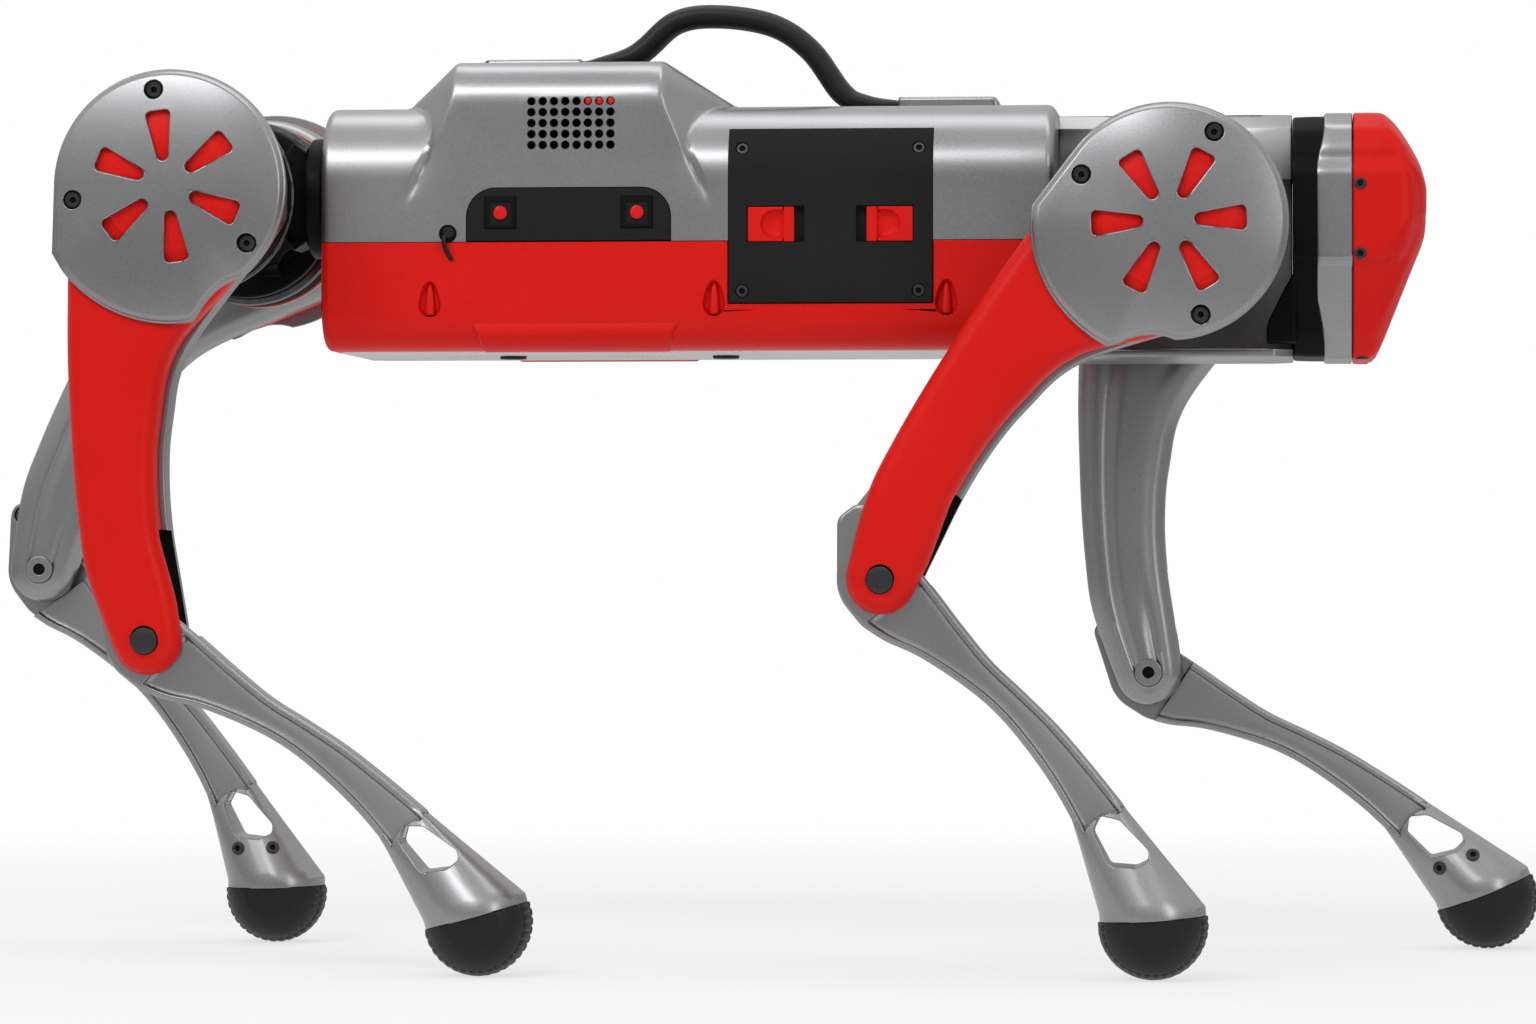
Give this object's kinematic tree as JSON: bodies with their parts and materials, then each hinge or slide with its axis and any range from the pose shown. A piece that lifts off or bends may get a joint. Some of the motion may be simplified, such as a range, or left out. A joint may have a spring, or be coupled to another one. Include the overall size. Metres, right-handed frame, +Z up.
{
  "type": "quadruped robot",
  "caption": "Four-legged walking robot with bowed thighs, rod-driven knees, vented hip covers, a faceted head and a carrying handle.",
  "frame": {"origin": "on the ground, below the middle of the robot's bounding box as it stands", "axes": "+X to the head, +Y to the robot's left, +Z up"},
  "size_m": [0.8366, 0.33, 0.4991],
  "materials": {
    "silver_casting": "brushed silver casting",
    "red_shell": "satin red plastic shell",
    "red_motor": "red anodised motor face",
    "black_motor": "black anodised housing",
    "dark_panel": "dark matt plastic",
    "black_rubber": "black rubber",
    "black_steel": "black oxide steel",
    "dark_steel": "dark steel",
    "red_latch": "red plastic",
    "red_light": "clear red lens"
  },
  "bodies": {
    "trunk": {"upper_shell": "silver_casting", "lower_shell": "red_shell", "chassis": "silver_casting", "neck_seal": "black_rubber", "head_collar": "silver_casting", "head_shell": "red_shell", "battery": "dark_panel", "button_panel": "dark_panel", "handle_grip": "dark_panel", "handle_blocks": "silver_casting", "status_lights": "red_light", "trunk_screws": "black_steel"},
    "rear_latch_body": {"rear_latch": "red_latch"},
    "front_latch_body": {"front_latch": "red_latch"},
    "rear_button_body": {"rear_button": "dark_panel"},
    "front_button_body": {"front_button": "dark_panel"},
    "right_front_hip_body": {"right_front_hip_carrier": "black_motor", "right_front_hip_motor": "black_motor"},
    "right_front_thigh_body": {"right_front_thigh_inner_shell": "silver_casting", "right_front_thigh_outer_shell": "red_shell", "right_front_hip_cover": "silver_casting", "right_front_knee_motor": "red_motor", "right_front_knee_pin": "black_steel"},
    "right_front_crank_body": {"right_front_knee_crank": "dark_steel"},
    "right_front_rod_body": {"right_front_push_rod": "silver_casting"},
    "right_front_shin_body": {"right_front_shin": "silver_casting", "right_front_foot": "black_rubber"},
    "right_rear_hip_body": {"right_rear_hip_carrier": "black_motor", "right_rear_hip_motor": "black_motor"},
    "right_rear_thigh_body": {"right_rear_thigh_inner_shell": "silver_casting", "right_rear_thigh_outer_shell": "red_shell", "right_rear_hip_cover": "silver_casting", "right_rear_knee_motor": "red_motor", "right_rear_knee_pin": "black_steel"},
    "right_rear_crank_body": {"right_rear_knee_crank": "dark_steel"},
    "right_rear_rod_body": {"right_rear_push_rod": "silver_casting"},
    "right_rear_shin_body": {"right_rear_shin": "silver_casting", "right_rear_foot": "black_rubber"},
    "left_front_hip_body": {"left_front_hip_carrier": "black_motor", "left_front_hip_motor": "black_motor"},
    "left_front_thigh_body": {"left_front_thigh_inner_shell": "silver_casting", "left_front_thigh_outer_shell": "red_shell", "left_front_hip_cover": "silver_casting", "left_front_knee_motor": "red_motor", "left_front_knee_pin": "black_steel"},
    "left_front_crank_body": {"left_front_knee_crank": "dark_steel"},
    "left_front_rod_body": {"left_front_push_rod": "silver_casting"},
    "left_front_shin_body": {"left_front_shin": "silver_casting", "left_front_foot": "black_rubber"},
    "left_rear_hip_body": {"left_rear_hip_carrier": "black_motor", "left_rear_hip_motor": "black_motor"},
    "left_rear_thigh_body": {"left_rear_thigh_inner_shell": "silver_casting", "left_rear_thigh_outer_shell": "red_shell", "left_rear_hip_cover": "silver_casting", "left_rear_knee_motor": "red_motor", "left_rear_knee_pin": "black_steel"},
    "left_rear_crank_body": {"left_rear_knee_crank": "dark_steel"},
    "left_rear_rod_body": {"left_rear_push_rod": "silver_casting"},
    "left_rear_shin_body": {"left_rear_shin": "silver_casting", "left_rear_foot": "black_rubber"}
  },
  "joints": [
    {"name": "right_front_hip_roll", "type": "hinge", "parent": "trunk", "child": "right_front_hip_body", "pos_m": [0.232, -0.048, 0.376], "axis": [1, 0, 0], "range_deg": [-35, 15]},
    {"name": "right_front_hip_pitch", "type": "hinge", "parent": "right_front_hip_body", "child": "right_front_thigh_body", "pos_m": [0.232, -0.135, 0.376], "axis": [0, -1, 0], "range_deg": [-36, 109]},
    {"name": "right_front_knee", "type": "hinge", "parent": "right_front_thigh_body", "child": "right_front_shin_body", "pos_m": [0.08851, -0.135, 0.19881], "axis": [0, -1, 0], "range_deg": [-32.2, 65.8]},
    {"name": "right_front_crank_turn", "type": "hinge", "parent": "right_front_thigh_body", "child": "right_front_crank_body", "pos_m": [0.232, -0.135, 0.376], "axis": [0, -1, 0], "range_deg": [-32.2, 65.8]},
    {"name": "right_front_rod_turn", "type": "hinge", "parent": "right_front_crank_body", "child": "right_front_rod_body", "pos_m": [0.21888, -0.135, 0.40519], "axis": [0, -1, 0], "range_deg": [-65.8, 32.2]},
    {"name": "right_rear_hip_roll", "type": "hinge", "parent": "trunk", "child": "right_rear_hip_body", "pos_m": [-0.268, -0.048, 0.3958], "axis": [1, 0, 0], "range_deg": [-35, 15]},
    {"name": "right_rear_hip_pitch", "type": "hinge", "parent": "right_rear_hip_body", "child": "right_rear_thigh_body", "pos_m": [-0.268, -0.135, 0.3958], "axis": [0, -1, 0], "range_deg": [-71.7, 25.3]},
    {"name": "right_rear_knee", "type": "hinge", "parent": "right_rear_thigh_body", "child": "right_rear_shin_body", "pos_m": [-0.28112, -0.135, 0.16818], "axis": [0, -1, 0], "range_deg": [-8.11, 89.89]},
    {"name": "right_rear_crank_turn", "type": "hinge", "parent": "right_rear_thigh_body", "child": "right_rear_crank_body", "pos_m": [-0.268, -0.135, 0.3958], "axis": [0, -1, 0], "range_deg": [-8.11, 89.89]},
    {"name": "right_rear_rod_turn", "type": "hinge", "parent": "right_rear_crank_body", "child": "right_rear_rod_body", "pos_m": [-0.28672, -0.135, 0.42175], "axis": [0, -1, 0], "range_deg": [-89.89, 8.11]},
    {"name": "left_front_hip_roll", "type": "hinge", "parent": "trunk", "child": "left_front_hip_body", "pos_m": [0.232, 0.048, 0.376], "axis": [-1, 0, 0], "range_deg": [-35, 15]},
    {"name": "left_front_hip_pitch", "type": "hinge", "parent": "left_front_hip_body", "child": "left_front_thigh_body", "pos_m": [0.232, 0.135, 0.376], "axis": [0, -1, 0], "range_deg": [-70.5, 74.5]},
    {"name": "left_front_knee", "type": "hinge", "parent": "left_front_thigh_body", "child": "left_front_shin_body", "pos_m": [0.21411, 0.135, 0.1487], "axis": [0, -1, 0], "range_deg": [-15.72, 82.28]},
    {"name": "left_front_crank_turn", "type": "hinge", "parent": "left_front_thigh_body", "child": "left_front_crank_body", "pos_m": [0.232, 0.135, 0.376], "axis": [0, -1, 0], "range_deg": [-15.72, 82.28]},
    {"name": "left_front_rod_turn", "type": "hinge", "parent": "left_front_crank_body", "child": "left_front_rod_body", "pos_m": [0.2105, 0.135, 0.3997], "axis": [0, -1, 0], "range_deg": [-82.28, 15.72]},
    {"name": "left_rear_hip_roll", "type": "hinge", "parent": "trunk", "child": "left_rear_hip_body", "pos_m": [-0.268, 0.048, 0.3958], "axis": [-1, 0, 0], "range_deg": [-35, 15]},
    {"name": "left_rear_hip_pitch", "type": "hinge", "parent": "left_rear_hip_body", "child": "left_rear_thigh_body", "pos_m": [-0.268, 0.135, 0.3958], "axis": [0, -1, 0], "range_deg": [-42.2, 54.8]},
    {"name": "left_rear_knee", "type": "hinge", "parent": "left_rear_thigh_body", "child": "left_rear_shin_body", "pos_m": [-0.39151, 0.135, 0.20415], "axis": [0, -1, 0], "range_deg": [-23.67, 74.33]},
    {"name": "left_rear_crank_turn", "type": "hinge", "parent": "left_rear_thigh_body", "child": "left_rear_crank_body", "pos_m": [-0.268, 0.135, 0.3958], "axis": [0, -1, 0], "range_deg": [-23.67, 74.33]},
    {"name": "left_rear_rod_turn", "type": "hinge", "parent": "left_rear_crank_body", "child": "left_rear_rod_body", "pos_m": [-0.27992, 0.135, 0.4255], "axis": [0, -1, 0], "range_deg": [-74.33, 23.67]},
    {"name": "rear_latch_slide", "type": "slide", "parent": "trunk", "child": "rear_latch_body", "axis": [1, 0, 0], "range_m": [0, 0.005], "stiffness_N_per_m": 500, "springref_m": -0.002},
    {"name": "front_latch_slide", "type": "slide", "parent": "trunk", "child": "front_latch_body", "axis": [-1, 0, 0], "range_m": [0, 0.005], "stiffness_N_per_m": 500, "springref_m": -0.002},
    {"name": "rear_button_press", "type": "slide", "parent": "trunk", "child": "rear_button_body", "axis": [0, 1, 0], "range_m": [0, 0.0015], "stiffness_N_per_m": 900, "springref_m": -0.001},
    {"name": "front_button_press", "type": "slide", "parent": "trunk", "child": "front_button_body", "axis": [0, 1, 0], "range_m": [0, 0.0015], "stiffness_N_per_m": 900, "springref_m": -0.001}
  ],
  "couplings": [
    {"joint": "right_front_crank_turn", "follows": "right_front_knee", "ratio": 1},
    {"joint": "right_front_rod_turn", "follows": "right_front_knee", "ratio": -1},
    {"joint": "right_rear_crank_turn", "follows": "right_rear_knee", "ratio": 1},
    {"joint": "right_rear_rod_turn", "follows": "right_rear_knee", "ratio": -1},
    {"joint": "left_front_crank_turn", "follows": "left_front_knee", "ratio": 1},
    {"joint": "left_front_rod_turn", "follows": "left_front_knee", "ratio": -1},
    {"joint": "left_rear_crank_turn", "follows": "left_rear_knee", "ratio": 1},
    {"joint": "left_rear_rod_turn", "follows": "left_rear_knee", "ratio": -1}
  ]
}
